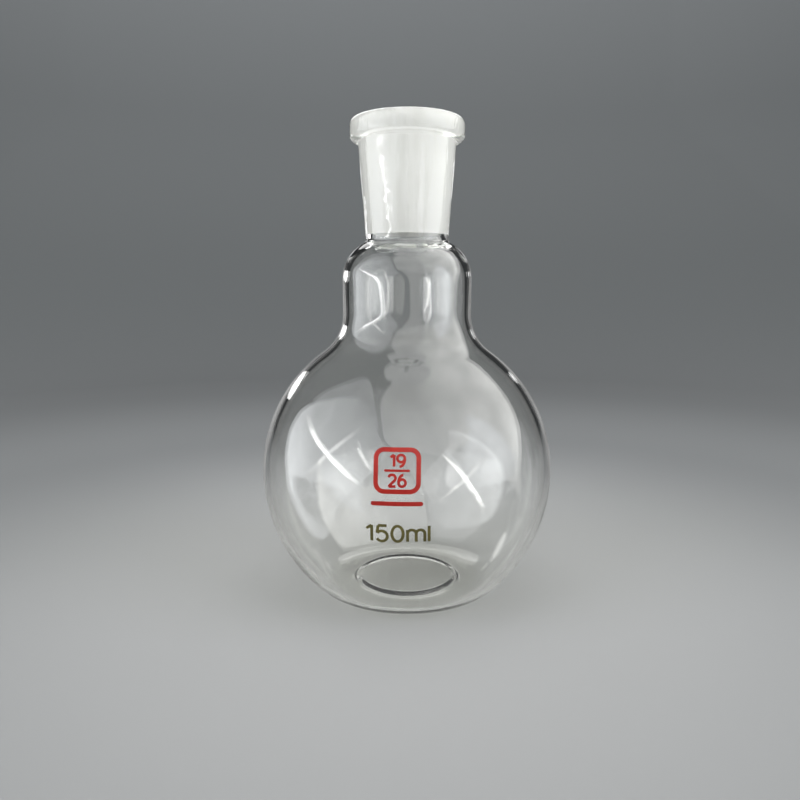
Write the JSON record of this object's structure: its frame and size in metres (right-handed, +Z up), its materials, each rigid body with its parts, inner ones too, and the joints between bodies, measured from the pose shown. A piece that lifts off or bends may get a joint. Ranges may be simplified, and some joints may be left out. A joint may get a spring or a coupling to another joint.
{
  "type": "flat bottom flask",
  "caption": "Round-bodied glass flask with a flat foot, a short bulbed neck and a frosted, tapered ground socket with a rounded collar.",
  "frame": {"origin": "centre of the foot, on the surface the flask stands on", "axes": "+Z up along the axis of the flask, out of its mouth; -Y is the side that carries the print"},
  "size_m": [0.07, 0.07, 0.1125],
  "materials": {
    "glass": "clear, fire polished; ground to a matt white on the inner face of the socket",
    "red_enamel": "thin fired enamel print",
    "olive_enamel": "thin fired enamel print"
  },
  "bodies": {
    "root": {"flask": "glass"}
  },
  "joints": []
}
